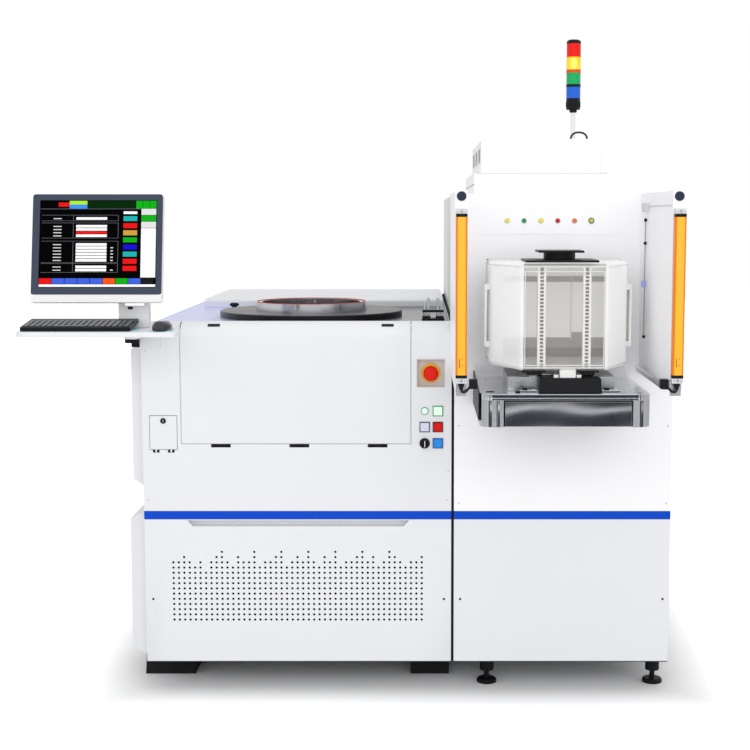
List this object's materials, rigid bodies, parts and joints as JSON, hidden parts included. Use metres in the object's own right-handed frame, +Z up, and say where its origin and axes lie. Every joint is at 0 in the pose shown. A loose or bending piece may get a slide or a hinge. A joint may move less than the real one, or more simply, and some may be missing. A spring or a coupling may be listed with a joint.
{
  "type": "wafer probe station",
  "caption": "Floor-standing wafer prober with a fold-down front door, wafer loader, load port with a clear carrier, signal tower and a swivel operator console.",
  "frame": {"origin": "centre of the machine's footprint box, on the floor", "axes": "+Z up, the operator's side faces -Y, +X to the right as the operator sees it"},
  "size_m": [1.929, 2.325, 2.023],
  "materials": {
    "panel_paint": "fine powder coat",
    "frame_paint": "powder coat",
    "black_steel": "black powder coat",
    "blue_trim": "gloss",
    "black_plastic": "moulded",
    "white_plastic": "moulded",
    "slate_plastic": "moulded",
    "grey_plastic": "moulded",
    "red_plastic": "moulded",
    "green_plastic": "moulded",
    "blue_plastic": "moulded",
    "amber_plastic": "moulded",
    "yellow_plastic": "painted",
    "clear_plastic": "clear moulded",
    "steel": "brushed",
    "bright_steel": "polished",
    "aluminium": "machined",
    "black_satin": "black anodised",
    "granite": "lapped",
    "red_rubber": "moulded",
    "cable_rubber": "jacket"
  },
  "bodies": {
    "station": {"prober_frame": "frame_paint", "loader_frame": "frame_paint", "feet": "black_steel", "hinge_brackets": "black_steel", "lower_front_panels": "panel_paint", "upper_front_panel": "panel_paint", "prober_body_panels": "panel_paint", "loader_front_panel": "panel_paint", "loader_body_panels": "panel_paint", "curtain_wings": "panel_paint", "filter_unit": "panel_paint", "trim_strips": "blue_trim", "control_bezels": "slate_plastic", "indicator_lamps": "amber_plastic", "deck_plate": "steel", "interface_disc": "black_satin", "card_ring": "aluminium", "ring_seal": "red_rubber", "guide_posts": "black_satin", "stage_base": "granite", "port_plate": "steel", "load_port_shelf": "bright_steel", "light_curtains": "yellow_plastic", "curtain_brackets": "steel", "signal_tower": "black_plastic", "tower_lenses": "amber_plastic", "tower_lead": "cable_rubber", "robot_column": "aluminium"},
    "front_door": {"front_door": "panel_paint", "door_fittings": "black_steel"},
    "left_door_latch": {"left_door_latch": "black_plastic"},
    "right_door_latch": {"right_door_latch": "black_plastic"},
    "service_flap": {"service_flap": "panel_paint"},
    "emo_button": {"emo_button": "red_plastic"},
    "green_button": {"green_button": "green_plastic"},
    "grey_button": {"grey_button": "grey_plastic"},
    "red_button": {"red_button": "red_plastic"},
    "blue_button": {"blue_button": "blue_plastic"},
    "mode_selector": {"mode_selector": "black_plastic"},
    "console": {"console_tray": "panel_paint", "keyboard": "black_plastic", "mouse": "black_plastic", "mouse_lead": "cable_rubber"},
    "keyboard_keys": {"keyboard_keys": "slate_plastic"},
    "monitor": {"monitor": "slate_plastic"},
    "carrier_stage": {"carrier_stage": "steel", "carrier_shell": "clear_plastic", "carrier_combs": "white_plastic", "carrier_fittings": "black_plastic", "carrier_handles": "white_plastic"},
    "carrier_door": {"carrier_door": "black_plastic"},
    "port_door": {"port_door": "black_satin"},
    "y_carriage": {"y_carriage": "aluminium"},
    "x_carriage": {"x_carriage": "aluminium"},
    "chuck_lift": {"chuck_lift": "aluminium"},
    "wafer_chuck": {"wafer_chuck": "aluminium"},
    "robot_lift": {"robot_lift": "aluminium"},
    "robot_turret": {"robot_turret": "panel_paint"},
    "robot_blade": {"robot_blade": "aluminium"},
    "fan_rotor": {"fan_rotor": "aluminium"}
  },
  "joints": [
    {"name": "front_door_fold", "type": "hinge", "parent": "station", "child": "front_door", "pos_m": [-0.171, -0.5835, 0.769], "axis": [1, 0, 0], "range_deg": [0, 95]},
    {"name": "left_latch_press", "type": "slide", "parent": "front_door", "child": "left_door_latch", "axis": [0, 0.6157, -0.788], "range_m": [0, 0.003], "stiffness_N_per_m": 900, "springref_m": -0.001},
    {"name": "right_latch_press", "type": "slide", "parent": "front_door", "child": "right_door_latch", "axis": [0, 0.6157, -0.788], "range_m": [0, 0.003], "stiffness_N_per_m": 900, "springref_m": -0.001},
    {"name": "service_flap_fold", "type": "hinge", "parent": "station", "child": "service_flap", "pos_m": [-0.5835, -0.586, 0.751], "axis": [1, 0, 0], "range_deg": [0, 95]},
    {"name": "emo_press", "type": "slide", "parent": "station", "child": "emo_button", "axis": [0, 1, 0], "range_m": [0, 0.0045]},
    {"name": "green_button_press", "type": "slide", "parent": "station", "child": "green_button", "axis": [0, 1, 0], "range_m": [0, 0.003], "stiffness_N_per_m": 600, "springref_m": -0.001},
    {"name": "grey_button_press", "type": "slide", "parent": "station", "child": "grey_button", "axis": [0, 1, 0], "range_m": [0, 0.003], "stiffness_N_per_m": 600, "springref_m": -0.001},
    {"name": "red_button_press", "type": "slide", "parent": "station", "child": "red_button", "axis": [0, 1, 0], "range_m": [0, 0.003], "stiffness_N_per_m": 600, "springref_m": -0.001},
    {"name": "blue_button_press", "type": "slide", "parent": "station", "child": "blue_button", "axis": [0, 1, 0], "range_m": [0, 0.003], "stiffness_N_per_m": 600, "springref_m": -0.001},
    {"name": "mode_selector_turn", "type": "hinge", "parent": "station", "child": "mode_selector", "pos_m": [0.211, -0.5875, 0.776], "axis": [0, 1, 0], "range_deg": [-45, 45]},
    {"name": "console_swivel", "type": "hinge", "parent": "station", "child": "console", "pos_m": [-0.6625, -0.6395, 1.1], "axis": [0, 0, 1], "range_deg": [-60, 0]},
    {"name": "monitor_tilt", "type": "hinge", "parent": "console", "child": "monitor", "pos_m": [-0.6545, -0.6325, 1.29], "axis": [1, 0, 0], "range_deg": [-10, 12]},
    {"name": "keyboard_keys_press", "type": "slide", "parent": "console", "child": "keyboard_keys", "axis": [0, 0.1132, -0.9936], "range_m": [0, 0.002], "stiffness_N_per_m": 3000, "springref_m": -0.001},
    {"name": "carrier_dock", "type": "slide", "parent": "station", "child": "carrier_stage", "axis": [0, 1, 0], "range_m": [0, 0.07]},
    {"name": "carrier_door_release", "type": "slide", "parent": "carrier_stage", "child": "carrier_door", "axis": [0, 1, 0], "range_m": [0, 0.045]},
    {"name": "port_door_lower", "type": "slide", "parent": "station", "child": "port_door", "axis": [0, 0.152, -0.9884], "range_m": [0, 0.36]},
    {"name": "y_carriage_travel", "type": "slide", "parent": "station", "child": "y_carriage", "axis": [0, 1, 0], "range_m": [-0.12, 0.12]},
    {"name": "x_carriage_travel", "type": "slide", "parent": "y_carriage", "child": "x_carriage", "axis": [1, 0, 0], "range_m": [-0.12, 0.12]},
    {"name": "chuck_lift_travel", "type": "slide", "parent": "x_carriage", "child": "chuck_lift", "axis": [0, 0, 1], "range_m": [0, 0.04]},
    {"name": "chuck_turn", "type": "hinge", "parent": "chuck_lift", "child": "wafer_chuck", "pos_m": [-0.1685, -0.0725, 0.95], "axis": [0, 0, 1], "range_deg": [-8, 8]},
    {"name": "robot_lift_travel", "type": "slide", "parent": "station", "child": "robot_lift", "axis": [0, 0, 1], "range_m": [0, 0.2]},
    {"name": "robot_turn", "type": "hinge", "parent": "robot_lift", "child": "robot_turret", "pos_m": [0.6325, 0.1125, 0.95], "axis": [0, 0, 1], "range_deg": [-180, 0]},
    {"name": "robot_reach", "type": "slide", "parent": "robot_turret", "child": "robot_blade", "axis": [0, -1, 0], "range_m": [0, 0.17]},
    {"name": "fan_spin", "type": "hinge", "parent": "station", "child": "fan_rotor", "pos_m": [0.574, -0.0475, 1.646], "axis": [0, 0, 1], "continuous": true}
  ]
}
